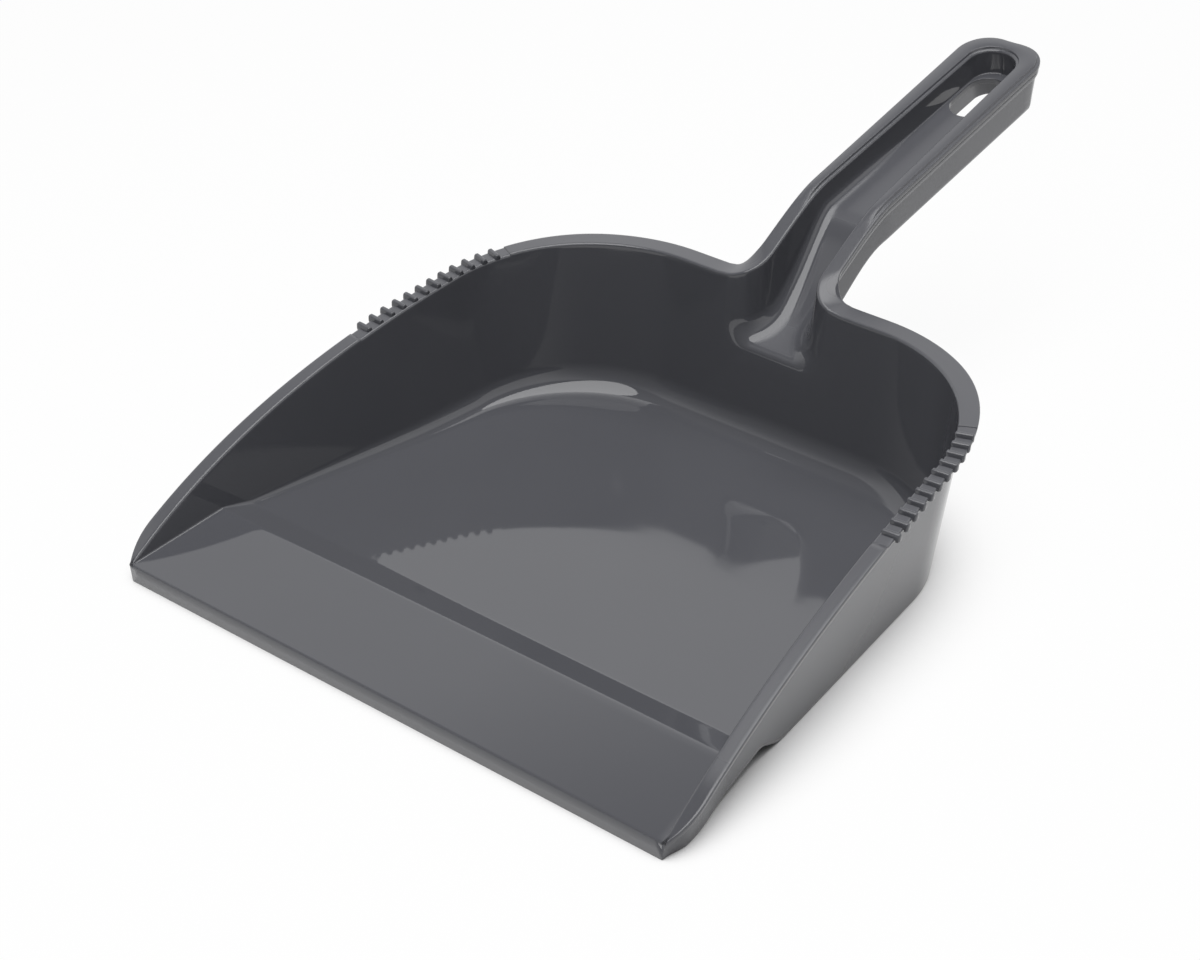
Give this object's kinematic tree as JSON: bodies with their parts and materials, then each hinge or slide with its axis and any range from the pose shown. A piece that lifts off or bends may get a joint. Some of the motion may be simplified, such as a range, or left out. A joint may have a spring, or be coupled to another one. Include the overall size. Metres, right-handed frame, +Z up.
{
  "type": "handheld dustpan",
  "caption": "Moulded hand dustpan: wide open tray with entry ramp and curved side walls, comb teeth on the side rims, and a channelled handle with a hanging slot.",
  "frame": {"origin": "centre of the footprint's bounding box, on the ground that the dustpan lies on", "axes": "+Z up; +Y from the front lip towards the end of the handle; +X to the right seen from behind the lip, looking along the handle"},
  "size_m": [0.2098, 0.324, 0.0942],
  "materials": {
    "moulded_plastic": "glossy charcoal grey, moulded in colour"
  },
  "bodies": {
    "root": {"front_lip": "moulded_plastic", "entry_ramp": "moulded_plastic", "tray_floor": "moulded_plastic", "left_wall": "moulded_plastic", "right_wall": "moulded_plastic", "left_corner_wall": "moulded_plastic", "right_corner_wall": "moulded_plastic", "left_corner_foot": "moulded_plastic", "right_corner_foot": "moulded_plastic", "rear_wall": "moulded_plastic", "left_rim": "moulded_plastic", "right_rim": "moulded_plastic", "rear_left_rim": "moulded_plastic", "rear_right_rim": "moulded_plastic", "left_comb": "moulded_plastic", "right_comb": "moulded_plastic", "left_neck": "moulded_plastic", "right_neck": "moulded_plastic", "chute_floor": "moulded_plastic", "handle_left_wall": "moulded_plastic", "handle_right_wall": "moulded_plastic", "handle_end_wall": "moulded_plastic", "handle_floor": "moulded_plastic", "handle_rim": "moulded_plastic", "handle_band": "moulded_plastic"}
  },
  "joints": []
}
